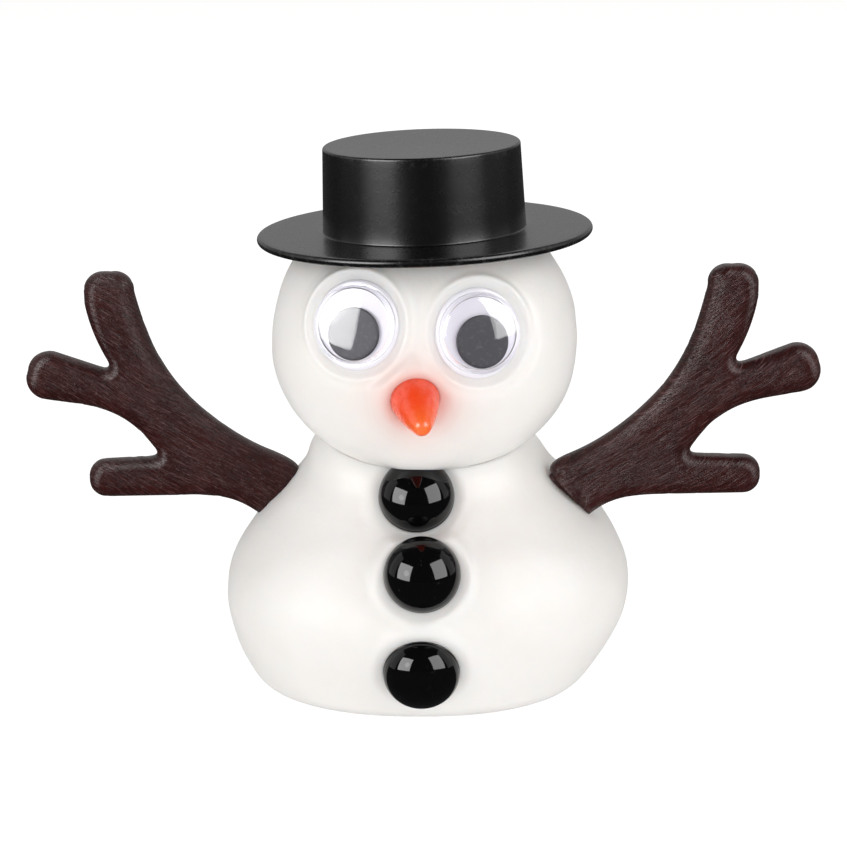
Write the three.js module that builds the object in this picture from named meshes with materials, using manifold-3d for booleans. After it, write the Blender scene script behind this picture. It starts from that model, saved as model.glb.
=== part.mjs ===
// A putty snowman kit, put together: two white putty lumps with a plastic hat, wiggle eyes, a carrot nose,
// three dome buttons and two twig arms pressed into them. Millimetres, +Z up, the face looks along -Y.
import * as THREE from "three";
import { mergeVertices } from "three/addons/utils/BufferGeometryUtils.js";
import Module from "manifold-3d";

const wasm = await Module();
wasm.setup();

// ---------------------------------------------------------------- driving dimensions
const FIT_GAP = 0.3; // between the putty and whatever is pressed into it
const CAPSULE_GAP = 0.12; // between the pieces of an eye
const AROUND = 32; // facets around a putty lump
const TURNED = 24; // facets around a small turned piece

const BODY = {
  depth: 0.88, // front to back, as a share of the width
  squareness: 2.25, // 2 is an ellipse, more is squarer
  top: 38, // hidden under the head
  slope: 0.0028, // the neck is lower in front: share of the height lost per mm forward
};
const HEAD = {
  halfWidth: 22.4,
  halfDepth: 20.1,
  forward: 1.3, // the chin hangs over the body
  jaw: 0.956, // below the middle 1 is an ellipse, less is fuller
  chin: 0.6, // the same, at the front
  halfHeight: 21.3, // above the middle
  halfHeightBelow: 18.9,
  centre: 52.7,
  frontSquareness: 2.55, // the face is flattened by pressing the eyes in
  backSquareness: 2.1,
};
const CHIN_SAG = { depth: 2.1, x: -1.2, y: -17.4, halfWidth: 4.8, halfDepth: 2.6 }; // over the top button
const HAT = {
  brimRadius: 24.45,
  brimThickness: 1.2,
  crownTopRadius: 14.35,
  crownFootRadius: 14.8,
  crownHeight: 12.4, // above the brim
  wall: 1.3,
  height: 67.45, // of the brim's underside above the base
  rollDeg: -2.2,
  tiltDeg: 1,
  facets: 34, // round the crown and the brim
};
const EYE = {
  flangeAcross: 6.1, // the backing is a little taller than wide
  flangeUp: 6.42,
  flangeThickness: 1.3,
  domeRadius: 5.7,
  domeWall: 0.4,
  domeSide: 1.7, // height of the straight side wall
  domeRise: 0.75, // of the front face over the side wall
  pupilRadius: 3.75,
  pupilThickness: 0.5,
  pupilLift: 0.35, // over the backing
};
const EYE_COLLAR = { width: 2.2, depth: 7, lip: 0.45 }; // the lip stops short of the backing's front
const EYES = {
  right_hand: { x: -9.6, y: -18.3, z: 57.9, yawDeg: -15, pitchDeg: 11, pupil: [-0.18, -1.28] },
  left_hand: { x: 7.45, y: -18.6, z: 56.8, yawDeg: 13, pitchDeg: 9, pupil: [0.42, -1.24] },
};
const NOSE = {
  footRadius: 3.55,
  tipRadius: 1.4,
  length: 8.6,
  root: 2.6,
  x: -1.4,
  z: 47.8,
  yawDeg: 8,
  pitchDeg: -18,
};
const BUTTON = { radius: 5.45, rise: 4.85, rim: 0.5, root: 1.6 };
const BUTTONS = {
  top: { x: -1.2, y: -15.3, z: 32.2, pitchDeg: 34 },
  middle: { x: -0.4, y: -23.2, z: 22.9, pitchDeg: 22 },
  bottom: { x: -0.5, y: -24.7, z: 9.1, pitchDeg: -20 },
};
const ARM = {
  thickness: 5,
  edgeRound: 1.5,
  rootDeg: 40.7, // the climb of the end that meets the body
  rootHalfWidth: 5.1,
  peg: 0.62, // width of the peg pressed into the body, as a share of the root's
  pegLength: 6,
};
const ARMS = {
  right_hand: { x: -21.2, y: 2.2, z: 28.7, rollDeg: -2.1, shoulder: -0.4, mirrored: true },
  left_hand: { x: 20.3, y: -5.2, z: 30.3, rollDeg: 0, shoulder: 0.8, mirrored: false },
};

// ---------------------------------------------------------------- materials
const plastic = (color, roughness) => new THREE.MeshStandardMaterial({ color, roughness, metalness: 0 });
const PUTTY = plastic(0xf3f0ec, 0.45);
const BLACK_SATIN = plastic(0x141414, 0.4);
const BLACK_GLOSS = plastic(0x080808, 0.08);
const WHITE_PLASTIC = plastic(0xeeeaf6, 0.3);
const BROWN_PLASTIC = plastic(0x3a2020, 0.45);
const ORANGE_PLASTIC = plastic(0xf0552a, 0.2);
const CLEAR_PLASTIC = new THREE.MeshStandardMaterial({
  color: 0xffffff,
  roughness: 0.05,
  metalness: 0,
  transparent: true,
  opacity: 0.3,
});

// ---------------------------------------------------------------- helpers
const radians = THREE.MathUtils.degToRad;
const point = (x, y) => new THREE.Vector2(x, y);

// Only the positions, with shared vertices joined.
function bare(geometry) {
  const copy = geometry.clone();
  copy.deleteAttribute("normal");
  copy.deleteAttribute("uv");
  return mergeVertices(copy, 1e-4);
}

function solidOf(geometry) {
  const merged = bare(geometry);
  return new wasm.Manifold(
    new wasm.Mesh({
      numProp: 3,
      vertProperties: merged.attributes.position.array,
      triVerts: new Uint32Array(merged.index.array),
    }),
  );
}

function geometryOf(solid) {
  const mesh = solid.getMesh();
  const geometry = new THREE.BufferGeometry();
  geometry.setAttribute("position", new THREE.BufferAttribute(new Float32Array(mesh.vertProperties), 3));
  geometry.setIndex(new THREE.BufferAttribute(new Uint32Array(mesh.triVerts), 1));
  return geometry;
}

// A profile of (radius, height) points, from the axis at the bottom to the axis at the top, turned about Z.
function turned(profile, facets = TURNED) {
  return new THREE.LatheGeometry(profile, facets).rotateX(Math.PI / 2);
}

// Points on an arc about a centre, from one angle to another, in degrees.
function arc(x, y, radius, fromDeg, toDeg, steps) {
  const points = [];
  for (let i = 0; i <= steps; i++) {
    const a = radians(fromDeg + ((toDeg - fromDeg) * i) / steps);
    points.push(point(x + radius * Math.cos(a), y + radius * Math.sin(a)));
  }
  return points;
}

// The turn that points a piece's +Z outwards along -Y, then yaws it to the side and pitches it up.
function facing(yawDeg, pitchDeg) {
  const outwards = new THREE.Matrix4().makeRotationX(Math.PI / 2 - radians(pitchDeg));
  return new THREE.Matrix4().makeRotationZ(radians(yawDeg)).multiply(outwards);
}

function placed(geometry, x, y, z, turn) {
  return geometry.clone().applyMatrix4(turn).translate(x, y, z);
}

// ---------------------------------------------------------------- putty lumps
// Turns a profile about Z and squares its round sections a little: width, depth and squareness per side.
function lump(profile, width, depth, frontSquareness, backSquareness) {
  const geometry = turned(profile, AROUND);
  const at = geometry.attributes.position;
  for (let i = 0; i < at.count; i++) {
    const radius = Math.hypot(at.getX(i), at.getY(i));
    const angle = Math.atan2(at.getY(i), at.getX(i));
    const power = 2 / (at.getY(i) < 0 ? frontSquareness : backSquareness);
    const across = Math.sign(Math.cos(angle)) * Math.abs(Math.cos(angle)) ** power;
    const along = Math.sign(Math.sin(angle)) * Math.abs(Math.sin(angle)) ** power;
    at.setXY(i, width * radius * across, depth * radius * along);
  }
  return geometry;
}

// The body's outline from the base's edge up to the neck: (half width, height).
const BODY_OUTLINE = new THREE.SplineCurve([
  point(21.8, 0),
  point(25.1, 2.6),
  point(28.2, 8.2),
  point(29.8, 14),
  point(29.2, 19.3),
  point(26.1, 25),
  point(22.1, 29.3),
  point(18.7, 32.9),
  point(16.6, 36),
  point(13, BODY.top),
]);

// The belly bulges a little to one side of the base and the neck.
function lean(height) {
  const share = THREE.MathUtils.clamp(height / BODY.top, 0, 1);
  return -0.8 + 1.9 * Math.sin((Math.PI * share ** 1.45) / 1.1);
}

function bodyLump() {
  const profile = [point(0, 0), point(11, 0), ...BODY_OUTLINE.getPoints(14), point(0, BODY.top)];
  const geometry = lump(profile, 1, BODY.depth, BODY.squareness, BODY.squareness);
  const at = geometry.attributes.position;
  for (let i = 0; i < at.count; i++) {
    const height = at.getZ(i);
    at.setX(i, at.getX(i) + lean(height));
    at.setZ(i, height * (1 + BODY.slope * at.getY(i)));
  }
  return geometry;
}

// The jaw's fullness in a direction from the head's axis.
function jawAt(x, y) {
  const ahead = Math.max(-y / Math.max(Math.hypot(x, y), 1e-6), 0);
  return THREE.MathUtils.lerp(HEAD.jaw, HEAD.chin, ahead * ahead);
}

// How far the chin sags over the top button at a point under the head.
function sagAt(x, y) {
  const across = (x - CHIN_SAG.x) / CHIN_SAG.halfWidth;
  const along = (y - CHIN_SAG.y) / CHIN_SAG.halfDepth;
  return CHIN_SAG.depth * Math.exp(-across * across - along * along);
}

// Grown by the gap where it is used to cut its neighbours.
function headLump(gap) {
  const profile = arc(0, 0, 1, -90, 90, 18);
  profile[0].x = profile[profile.length - 1].x = 0;
  const geometry = lump(profile, 1, 1, HEAD.frontSquareness, HEAD.backSquareness);
  const at = geometry.attributes.position;
  for (let i = 0; i < at.count; i++) {
    const [x, y, z] = [at.getX(i), at.getY(i), at.getZ(i)];
    const fuller = z < 0 ? Math.sqrt(Math.max(1 - z * z, 1e-6)) ** (jawAt(x, y) - 1) : 1;
    const halfHeight = z < 0 ? HEAD.halfHeightBelow : HEAD.halfHeight;
    const across = x * fuller * (HEAD.halfWidth + gap);
    const along = y * fuller * (HEAD.halfDepth + gap) - HEAD.forward;
    const sag = z < 0 ? sagAt(across, along) : 0;
    at.setXYZ(i, across, along, HEAD.centre + z * (halfHeight + gap) - sag);
  }
  return geometry;
}

// ---------------------------------------------------------------- hat
function hatProfile(gap) {
  const { brimRadius, brimThickness, crownTopRadius, crownFootRadius, crownHeight, wall } = HAT;
  const top = brimThickness + crownHeight;
  const edge = brimThickness / 2 + gap;
  return [
    point(0, top - wall - gap),
    point(crownTopRadius - wall - gap, top - wall - gap),
    point(crownFootRadius - wall - gap, -gap),
    ...arc(brimRadius - brimThickness / 2, brimThickness / 2, edge, -90, 90, 4),
    point(crownFootRadius + 0.6 + gap, brimThickness + gap),
    point(crownFootRadius + gap, brimThickness + 0.6 + gap),
    ...arc(crownTopRadius - 0.6, top - 0.6, 0.6 + gap, 0, 90, 2),
    point(0, top + gap),
  ];
}

function hatPose() {
  const roll = new THREE.Matrix4().makeRotationY(radians(HAT.rollDeg));
  return roll.multiply(new THREE.Matrix4().makeRotationX(radians(HAT.tiltDeg)));
}

function hat(gap = 0) {
  return placed(turned(hatProfile(gap), HAT.facets), 0, 0, HAT.height, hatPose());
}

// ---------------------------------------------------------------- eyes, each along its own +Z
function eyeBacking() {
  const { flangeAcross, flangeUp, flangeThickness } = EYE;
  const round = flangeThickness / 2;
  const edge = arc(flangeUp - round, -round, round, -90, 90, 4);
  const profile = [point(0, -flangeThickness), ...edge, point(0, 0)];
  return turned(profile).scale(flangeAcross / flangeUp, 1, 1);
}

// A see-through cap: a straight side wall with a slightly domed front, open at the back.
function eyeDome() {
  const { domeRadius, domeWall, domeSide, domeRise } = EYE;
  const inside = domeRadius - domeWall;
  const front = new THREE.QuadraticBezierCurve(
    point(domeRadius - 0.35, domeSide + 0.3),
    point(domeRadius * 0.55, domeSide + domeRise),
    point(0, domeSide + domeRise),
  );
  const back = new THREE.QuadraticBezierCurve(
    point(0, domeSide + domeRise - domeWall),
    point(inside * 0.55, domeSide + domeRise - domeWall),
    point(inside - 0.2, domeSide),
  );
  return turned([
    ...back.getPoints(2),
    point(inside, CAPSULE_GAP),
    point(domeRadius, CAPSULE_GAP),
    point(domeRadius, domeSide),
    ...front.getPoints(3),
  ]);
}

function pupil() {
  const { pupilRadius, pupilThickness, pupilLift } = EYE;
  return turned([
    point(0, pupilLift),
    point(pupilRadius, pupilLift),
    point(pupilRadius, pupilLift + pupilThickness),
    point(0, pupilLift + pupilThickness),
  ]);
}

// ---------------------------------------------------------------- nose and buttons
function nose(gap = 0) {
  const { footRadius, tipRadius, length, root } = NOSE;
  const slope = (Math.atan2(footRadius - tipRadius, length) * 180) / Math.PI;
  return turned([
    point(0, -root - gap),
    point(footRadius - 0.8 + gap, -root - gap),
    point(footRadius + gap, -root + 0.8),
    point(footRadius + gap, 0),
    ...arc(0, length - tipRadius, tipRadius + gap, slope, 90, 4),
  ]);
}

function button(gap = 0) {
  const { radius, rise, rim, root } = BUTTON;
  const profile = [
    point(0, -root - gap),
    point(radius - 0.7 + gap, -root - gap),
    point(radius + gap, -root + 0.5),
    point(radius + gap, rim),
  ];
  const steps = 5;
  for (let i = 1; i <= steps; i++) {
    const a = (i / steps) * (Math.PI / 2);
    profile.push(point((radius + gap) * Math.cos(a), rim + (rise - rim + gap) * Math.sin(a)));
  }
  profile[profile.length - 1].x = 0;
  return turned(profile);
}

// ---------------------------------------------------------------- arms
// A flat twig with three blunt prongs, in X and Z, from the middle of the end that meets the body.
const PRONGS = {
  high: { x: 24.2, z: 30.3, radius: 3.7, corner: 2.8, fromDeg: -4, toDeg: 186 },
  middle: { x: 33.5, z: 18.6, radius: 3.65, corner: 3.2, fromDeg: -78, toDeg: 112 },
  low: { x: 26, z: 2.8, radius: 2.85, corner: 2.5, fromDeg: -90, toDeg: 92 },
};

// A blunt tip: two round corners either side of the prong's axis.
function addTip(outline, { x, z, radius, corner, fromDeg, toDeg }) {
  const axisDeg = (fromDeg + toDeg) / 2;
  const inset = radius - corner;
  for (const [sideDeg, startDeg, endDeg] of [[-90, fromDeg, axisDeg], [90, axisDeg, toDeg]]) {
    const [ahead, aside] = [radians(axisDeg), radians(axisDeg + sideDeg)];
    const cornerX = x + inset * (Math.cos(ahead) + Math.cos(aside));
    const cornerZ = z + inset * (Math.sin(ahead) + Math.sin(aside));
    outline.absarc(cornerX, cornerZ, corner, radians(startDeg), radians(endDeg), false);
  }
}

// The shoulder is how far out the wide part starts; the narrower peg behind it goes into the body.
function armOutline(shoulder) {
  const outline = new THREE.Shape();
  const climb = radians(ARM.rootDeg);
  const along = point(Math.cos(climb), Math.sin(climb));
  const across = point(along.y, -along.x).multiplyScalar(ARM.rootHalfWidth);
  const at = (distance, share) => [
    along.x * distance + across.x * share,
    along.y * distance + across.y * share,
  ];
  outline.moveTo(...at(-ARM.pegLength, ARM.peg));
  outline.lineTo(...at(shoulder, ARM.peg));
  outline.lineTo(...at(shoulder, 1));
  outline.bezierCurveTo(6.4, -1.2, 8.6, -0.5, 13.5, -0.3);
  addTip(outline, PRONGS.low);
  outline.lineTo(19.6, 5.8);
  outline.quadraticCurveTo(17.8, 5.9, 19, 7.4);
  outline.bezierCurveTo(21.6, 11.3, 24.6, 13.4, 30, 14.35);
  addTip(outline, PRONGS.middle);
  outline.lineTo(26.2, 19.7);
  outline.quadraticCurveTo(24.6, 19.2, 25, 20.6);
  outline.quadraticCurveTo(27.3, 25, 27.9, 29.4);
  addTip(outline, PRONGS.high);
  outline.bezierCurveTo(19.3, 25, 17.3, 18.9, 12.7, 14.2);
  outline.bezierCurveTo(9.3, 10.6, 5.2, 7.6, 1.2, 5.9);
  outline.quadraticCurveTo(...at(shoulder, -1), ...at(shoulder, -ARM.peg));
  outline.lineTo(...at(-ARM.pegLength, -ARM.peg));
  return outline;
}

function arm(place, gap = 0) {
  const { thickness, edgeRound } = ARM;
  const flat = new THREE.ExtrudeGeometry(armOutline(place.shoulder), {
    depth: thickness - 2 * edgeRound,
    curveSegments: 3,
    bevelThickness: edgeRound + gap,
    bevelSize: edgeRound,
    bevelOffset: gap - edgeRound,
    bevelSegments: 2,
  });
  const upright = flat.translate(0, 0, edgeRound - thickness / 2).rotateX(Math.PI / 2);
  if (place.mirrored) upright.rotateZ(Math.PI);
  return upright.rotateY(radians(place.rollDeg)).translate(place.x, place.y, place.z);
}

// ---------------------------------------------------------------- places on the putty
function buttonPlaced({ x, y, z, pitchDeg }, gap = 0) {
  return placed(button(gap), x, y, z, facing(0, pitchDeg));
}

function nosePlaced(gap = 0) {
  const rise = (NOSE.z - HEAD.centre) / HEAD.halfHeight;
  const depth = HEAD.forward + HEAD.halfDepth * Math.sqrt(1 - rise * rise);
  return placed(nose(gap), NOSE.x, -depth, NOSE.z, facing(NOSE.yawDeg, NOSE.pitchDeg));
}

const eyePlaced = (geometry, eye) =>
  placed(geometry, eye.x, eye.y, eye.z, facing(eye.yawDeg, eye.pitchDeg));

// The well that an eye sits in, open to the front.
function eyeSeat(eye) {
  const back = -EYE.flangeThickness - FIT_GAP;
  const front = 5;
  const well = turned([point(0, back), point(1, back), point(1, front), point(0, front)]);
  return eyePlaced(well.scale(EYE.flangeAcross + FIT_GAP, EYE.flangeUp + FIT_GAP, 1), eye);
}

// Putty pushed up round an eye, which holds its backing all the way round.
function collar(eye) {
  const { width, depth, lip } = EYE_COLLAR;
  const middle = -EYE.flangeThickness - 1.2;
  return eyePlaced(
    turned([
      point(0, -depth),
      point(EYE.flangeUp - 1, -depth),
      point(EYE.flangeUp + width, middle),
      point(EYE.flangeUp + 0.6 * width, -2 * lip),
      point(EYE.flangeUp + 0.2 * width, -lip),
      point(0, -lip),
    ]),
    eye,
  );
}

// Drops the crumbs that a cut leaves beside the piece itself.
function largest(solid) {
  return solid.decompose().reduce((a, b) => (a.volume() > b.volume() ? a : b));
}

function head() {
  let solid = solidOf(headLump(0));
  for (const eye of Object.values(EYES)) solid = solid.add(solidOf(collar(eye)));
  for (const eye of Object.values(EYES)) solid = solid.subtract(solidOf(eyeSeat(eye)));
  solid = solid.subtract(solidOf(nosePlaced(FIT_GAP))).subtract(solidOf(hat(FIT_GAP)));
  solid = solid.subtract(solidOf(buttonPlaced(BUTTONS.top, FIT_GAP))); // the chin rests on it
  return geometryOf(largest(solid));
}

function body() {
  let solid = solidOf(bodyLump()).subtract(solidOf(headLump(FIT_GAP)));
  for (const place of Object.values(BUTTONS)) solid = solid.subtract(solidOf(buttonPlaced(place, FIT_GAP)));
  for (const place of Object.values(ARMS)) solid = solid.subtract(solidOf(arm(place, FIT_GAP)));
  return geometryOf(largest(solid));
}

// ---------------------------------------------------------------- the assembly
const snowman = new THREE.Group();

function part(name, geometry, material) {
  const mesh = new THREE.Mesh(geometry, material);
  mesh.name = name;
  snowman.add(mesh);
}

part("body", body(), PUTTY);
part("head", head(), PUTTY);
part("hat", hat(), BLACK_SATIN);
part("nose", nosePlaced(), ORANGE_PLASTIC);
for (const [row, place] of Object.entries(BUTTONS)) part(`button_${row}`, buttonPlaced(place), BLACK_GLOSS);
for (const [side, place] of Object.entries(ARMS)) part(`arm_${side}`, arm(place), BROWN_PLASTIC);
for (const [side, eye] of Object.entries(EYES)) {
  part(`eye_backing_${side}`, eyePlaced(eyeBacking(), eye), WHITE_PLASTIC);
  part(`eye_pupil_${side}`, eyePlaced(pupil().translate(...eye.pupil, 0), eye), BLACK_GLOSS);
  part(`eye_dome_${side}`, eyePlaced(eyeDome(), eye), CLEAR_PLASTIC);
}

export default snowman;
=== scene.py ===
import math

import bpy
import numpy as np
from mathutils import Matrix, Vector


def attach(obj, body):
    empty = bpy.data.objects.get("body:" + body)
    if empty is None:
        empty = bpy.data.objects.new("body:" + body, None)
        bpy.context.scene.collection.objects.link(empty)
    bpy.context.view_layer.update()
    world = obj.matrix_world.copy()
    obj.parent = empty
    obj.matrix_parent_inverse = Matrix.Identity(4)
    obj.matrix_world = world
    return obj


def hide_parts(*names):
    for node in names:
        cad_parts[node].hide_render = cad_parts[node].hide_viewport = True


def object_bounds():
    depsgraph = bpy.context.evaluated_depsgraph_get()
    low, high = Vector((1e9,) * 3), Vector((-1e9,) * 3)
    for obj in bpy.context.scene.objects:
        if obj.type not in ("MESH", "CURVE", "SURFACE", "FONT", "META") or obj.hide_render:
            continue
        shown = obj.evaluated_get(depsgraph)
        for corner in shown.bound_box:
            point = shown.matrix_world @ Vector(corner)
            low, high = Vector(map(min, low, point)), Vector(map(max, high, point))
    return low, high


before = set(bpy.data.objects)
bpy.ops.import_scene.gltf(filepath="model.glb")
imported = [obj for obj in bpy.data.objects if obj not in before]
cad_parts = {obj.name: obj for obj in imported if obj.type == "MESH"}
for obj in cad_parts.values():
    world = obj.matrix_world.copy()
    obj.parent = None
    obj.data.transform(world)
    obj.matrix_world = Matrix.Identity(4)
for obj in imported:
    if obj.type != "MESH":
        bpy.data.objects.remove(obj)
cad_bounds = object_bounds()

# The looks of a putty snowman toy. Shapes are worked out in millimetres in the part's frame: +Z up, the face
# looks along -Y, and +X is towards the snowman's own left hand. right_hand and left_hand are its own sides.

MM = 0.001
ROOT_BODY = "snowman"

# ---------------------------------------------------------------- dimensions shared with the part
BODY_OUTLINE = [
    (21.8, 0), (25.1, 2.6), (28.2, 8.2), (29.8, 14), (29.2, 19.3),
    (26.1, 25), (22.1, 29.3), (18.7, 32.9), (16.6, 36), (13, 38),
]
BODY = {
    "depth": 0.88, "squareness": 2.25, "top": 38.0, "top_radius": 12.4, "slope": 0.0028,
    "foot_radius": 19.6, "foot_edge": [(19.6, 0), (22.2, 0), (23.4, 1.35)], "outline_start": 0.062,
}
HEAD = {
    "half_width": 22.4, "half_depth": 20.1, "forward": 1.3, "jaw": 0.956, "chin": 0.6,
    "half_height": 21.3, "half_height_below": 18.9,
    "centre": 52.7, "front_squareness": 2.55, "back_squareness": 2.1,
}
CHIN_SAG = {"depth": 2.1, "x": -1.2, "y": -17.4, "half_width": 4.8, "half_depth": 2.6}
HAT = {
    "brim_radius": 24.45, "brim_thickness": 1.2, "crown_top_radius": 14.35, "crown_foot_radius": 14.8,
    "crown_height": 12.4, "wall": 1.3, "height": 67.45, "roll": -2.2, "tilt": 1.0,
    "inner_fillet": 0.8, "mouth_fillet": 0.6, "foot_fillet": 0.25, "edge_round": 0.4, "crown_dip": 0.12,
}
EYE = {
    "across": 6.1, "up": 6.42, "thickness": 1.3, "dome_radius": 5.7, "dome_wall": 0.4, "dome_side": 1.7,
    "dome_rise": 0.75, "pupil_radius": 3.75, "pupil_thickness": 0.5, "pupil_lift": 0.35, "gap": 0.12,
    "rim_round": 0.5, "sunk": 0.45,
}
EYES = {
    "right_hand": {"place": (-9.6, -18.3, 57.9), "yaw": -15.0, "pitch": 11.0, "pupil": (-0.18, -1.28)},
    "left_hand": {"place": (7.45, -18.6, 56.8), "yaw": 13.0, "pitch": 9.0, "pupil": (0.42, -1.24)},
}
NOSE = {
    "foot": 3.55, "tip": 1.4, "length": 8.6, "root": 2.6, "belly": (0.42, 0.3),
    "x": -1.4, "z": 47.8, "yaw": 8.0, "pitch": -18.0,
}
BUTTON = {"radius": 5.45, "rise": 4.85, "rim": 0.5, "root": 1.6}
BUTTONS = {
    "top": {"place": (-1.2, -15.3, 32.2), "pitch": 34.0},
    "middle": {"place": (-0.4, -23.2, 22.9), "pitch": 22.0},
    "bottom": {"place": (-0.5, -24.7, 9.1), "pitch": -20.0},
}
ARM = {
    "thickness": 5.0, "root_angle": 40.7, "root_half_width": 5.1,
    "peg": 0.62, "peg_thinner": 0.4, "peg_length": 6.0, "edge_round": 2.3, "voxel": 0.2, "quick_voxel": 0.3,
}
ARMS = {
    "right_hand": {"place": (-21.2, 2.2, 28.7), "roll": -2.1, "shoulder": -0.4, "mirrored": True},
    "left_hand": {"place": (20.3, -5.2, 30.3), "roll": 0.0, "shoulder": 0.5, "mirrored": False},
}
PRONGS = {
    "high": {"place": (24.2, 30.3), "radius": 3.7, "corner": 2.8, "start": -4, "end": 186},
    "middle": {"place": (33.5, 18.6), "radius": 3.65, "corner": 3.2, "start": -78, "end": 112},
    "low": {"place": (26.0, 2.8), "radius": 2.85, "corner": 2.5, "start": -90, "end": 92},
}

# ---------------------------------------------------------------- finer shape than the part has
SEAT_GAP = 0.15
CHIN_GAP = 0.12
BRIM_GAP = 0.06
LUMP_COLUMNS = 400
HEAD_RINGS = 232
CLOSER_IN_FRONT = 0.35
HAND_MARKS = {
    "body": ({"seed": 11, "wavelength": 17, "height": 0.22}, {"seed": 12, "wavelength": 7, "height": 0.05}),
    "head": ({"seed": 21, "wavelength": 15, "height": 0.2}, {"seed": 22, "wavelength": 6, "height": 0.05}),
}
BUTTON_SEATS = {
    "bottom": {"lip": 0.1, "reach": 1.5},
    "middle": {"lip": 0.1, "reach": 1.5},
    "top": {"lip": -0.1, "reach": 1.6},
}
BUTTON_RINGS = {
    "middle": {"ring": 1.27, "width": 0.13, "height": 0.42, "towards": -40, "spread": 0.8},
    "bottom": {"ring": 1.3, "width": 0.16, "height": 0.25, "towards": 90, "spread": 0.8},
    "top": {"ring": 1.25, "width": 0.14, "height": 0.25, "towards": 0, "spread": 1.0},
}
NOSE_RING = {"ring": 1.4, "width": 0.3, "height": 0.22}
EYE_RING = {"ring": 1.2, "width": 0.085, "height": 0.45}
EYE_FOLDS = {
    "right_hand": {"ring": 1.25, "width": 0.07, "height": 0.4, "towards": 130, "spread": 2.5},
    "left_hand": {"ring": 1.25, "width": 0.07, "height": 0.4, "towards": 70, "spread": 2.5},
}
COLLAR = {"height": 1.5, "reach": 5.5, "front_share": 0.35, "fades_in": (26, 31), "front": (-0.95, -0.55)}
# Painted light: how strongly the nose's colour is painted into the putty round it, and how fast it fades.
NOSE_PAINTED_GLOW = {"strength": 0.5, "reach": 2.0}
GRAIN = {"bend": 0.7, "bend_length": 9, "climb": 33, "lean": 0.4}
GROOVES = {"length": 3.4, "width": 0.5, "depth": 0.05, "seed": 33}

# ---------------------------------------------------------------- studio settings
CAMERA = {"sensor": 36, "lens": 114.76, "elevation": 13.5, "distance": 0.4, "clip_end": 20}
AIM = {"x": -0.0002, "below_middle": 0.0015}
FLOOR_HALF_SIZE = 4000
LIGHT_DISTANCE = 0.9
MATT_SETBACK = 0.05
LEFT_BOX = {"azimuth": -49, "elevation": 18.5, "size": (0.62, 0.6)}
RIGHT_BOX = {"azimuth": 50.5, "elevation": 25, "size": (0.64, 0.68)}
LEFT_CORE = {"azimuth": -41, "elevation": 17, "size": (0.22, 0.22), "shape": "ELLIPSE"}
LIGHTS = {
    "softbox_left": {**LEFT_BOX, "radiance": 0.9, "seen_by": "matt"},
    "softbox_left_mirrored": {**LEFT_BOX, "radiance": 12.0, "seen_by": "shiny"},
    "softbox_left_core": {**LEFT_CORE, "radiance": 3.5, "seen_by": "shiny"},
    "softbox_right": {**RIGHT_BOX, "radiance": 1.1, "seen_by": "matt"},
    "softbox_right_mirrored": {**RIGHT_BOX, "radiance": 8.5, "seen_by": "shiny"},
    "front_fill": {"azimuth": 0, "elevation": 4, "size": (1.4, 0.5), "radiance": 1.7, "seen_by": "matt"},
    "card_left": {"azimuth": -92, "elevation": 22, "size": (0.5, 0.8), "radiance": 0.9, "seen_by": "both"},
    "card_right": {"azimuth": 95, "elevation": 25, "size": (0.5, 0.8), "radiance": 0.9, "seen_by": "both"},
    "back_light": {"azimuth": 180, "elevation": 45, "size": (0.9, 0.6), "radiance": 0.7, "seen_by": "both"},
}


# ---------------------------------------------------------------- maths helpers
def smoothstep(low, high, value):
    share = np.clip((value - low) / (high - low), 0.0, 1.0)
    return share * share * (3 - 2 * share)


def soft_min(a, b, width):
    """The lower of two heights, rounded over a width where they meet."""
    share = np.clip(0.5 + 0.5 * (b - a) / width, 0.0, 1.0)
    return b + (a - b) * share - width * share * (1 - share)


def rotation(axis, degrees):
    c, s = math.cos(math.radians(degrees)), math.sin(math.radians(degrees))
    return np.array({
        "x": [[1, 0, 0], [0, c, -s], [0, s, c]],
        "y": [[c, 0, s], [0, 1, 0], [-s, 0, c]],
        "z": [[c, -s, 0], [s, c, 0], [0, 0, 1]],
    }[axis])


def facing(yaw, pitch):
    """Turns a piece's own +Z outwards along -Y, then yaws it to the side and pitches it up."""
    return rotation("z", yaw) @ rotation("x", 90 - pitch)


def hat_turn():
    return rotation("y", HAT["roll"]) @ rotation("x", HAT["tilt"])


def spline(points, count, start):
    """Points on a uniform Catmull-Rom curve, from a share of its length to its end."""
    points = np.array(points, float)
    last = len(points) - 1
    out = []
    for t in np.linspace(start, 1, count):
        at = min(t * last, last - 1e-9)
        i = int(at)
        w = at - i
        p0, p1 = points[max(i - 1, 0)], points[i]
        p2, p3 = points[min(i + 1, last)], points[min(i + 2, last)]
        v0, v1 = (p2 - p0) / 2, (p3 - p1) / 2
        cubic = 2 * p1 - 2 * p2 + v0 + v1
        square = -3 * p1 + 3 * p2 - 2 * v0 - v1
        out.append(cubic * w**3 + square * w**2 + v0 * w + p1)
    return np.array(out)


def bezier(points, count):
    """Points on a Bezier curve of any degree, without the first one."""
    points = [np.array(p, float) for p in points]
    degree = len(points) - 1
    out = []
    for t in np.linspace(0, 1, count + 1)[1:]:
        out.append(sum(
            math.comb(degree, k) * (1 - t) ** (degree - k) * t**k * p for k, p in enumerate(points)
        ))
    return out


def arc(x, y, radius, start, end, count):
    angles = np.radians(np.linspace(start, end, count))
    return [(x + radius * math.cos(a), y + radius * math.sin(a)) for a in angles]


def on_line(start, end, shares):
    """Points on a straight line at shares of its length."""
    start, end = np.array(start, float), np.array(end, float)
    return [start + (end - start) * share for share in shares]


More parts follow.
